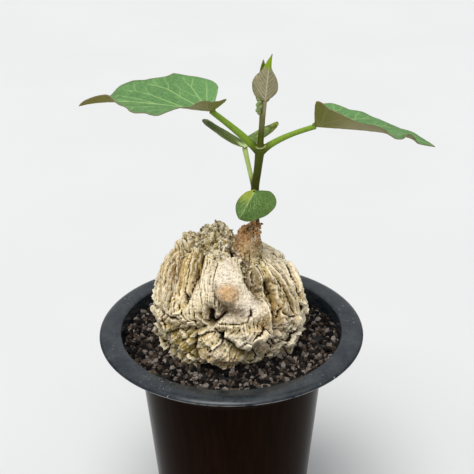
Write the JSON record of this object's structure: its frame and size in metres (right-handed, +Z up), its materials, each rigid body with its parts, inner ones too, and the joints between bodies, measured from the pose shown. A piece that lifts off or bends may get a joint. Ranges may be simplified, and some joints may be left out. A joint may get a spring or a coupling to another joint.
{
  "type": "potted matelea cyclophylla",
  "caption": "Corky, furrowed caudex half out of dark grit in a round black rim pot, with a short shoot of folded heart-shaped leaves.",
  "frame": {"origin": "centre of the pot's flat base", "axes": "+Z up through the pot, -Y is the plant's front, +X is the right-hand side seen from the front"},
  "size_m": [0.1485, 0.12, 0.2426],
  "materials": {
    "pot": "glossy black body, satin rim",
    "grit": "loose matte grains",
    "cork": "dry corky bark",
    "stem": "satin green shoot",
    "petiole": "satin green stalk",
    "leaf": "soft satin leaf",
    "young_leaf": "downy young leaf",
    "bud": "soft green bud",
    "bract": "dry dark scale"
  },
  "bodies": {
    "root": {"pot": "pot", "soil": "grit", "caudex": "cork", "stem": "stem", "petiole_left": "petiole", "petiole_right": "petiole", "petiole_back": "petiole", "petiole_front": "petiole", "petiole_tip_front": "petiole", "petiole_tip_back": "petiole", "leaf_left": "leaf", "leaf_right": "leaf", "leaf_back": "leaf", "leaf_front": "leaf", "leaf_tip_front": "young_leaf", "leaf_tip_back": "young_leaf", "bud": "bud", "bract": "bract"}
  },
  "joints": []
}
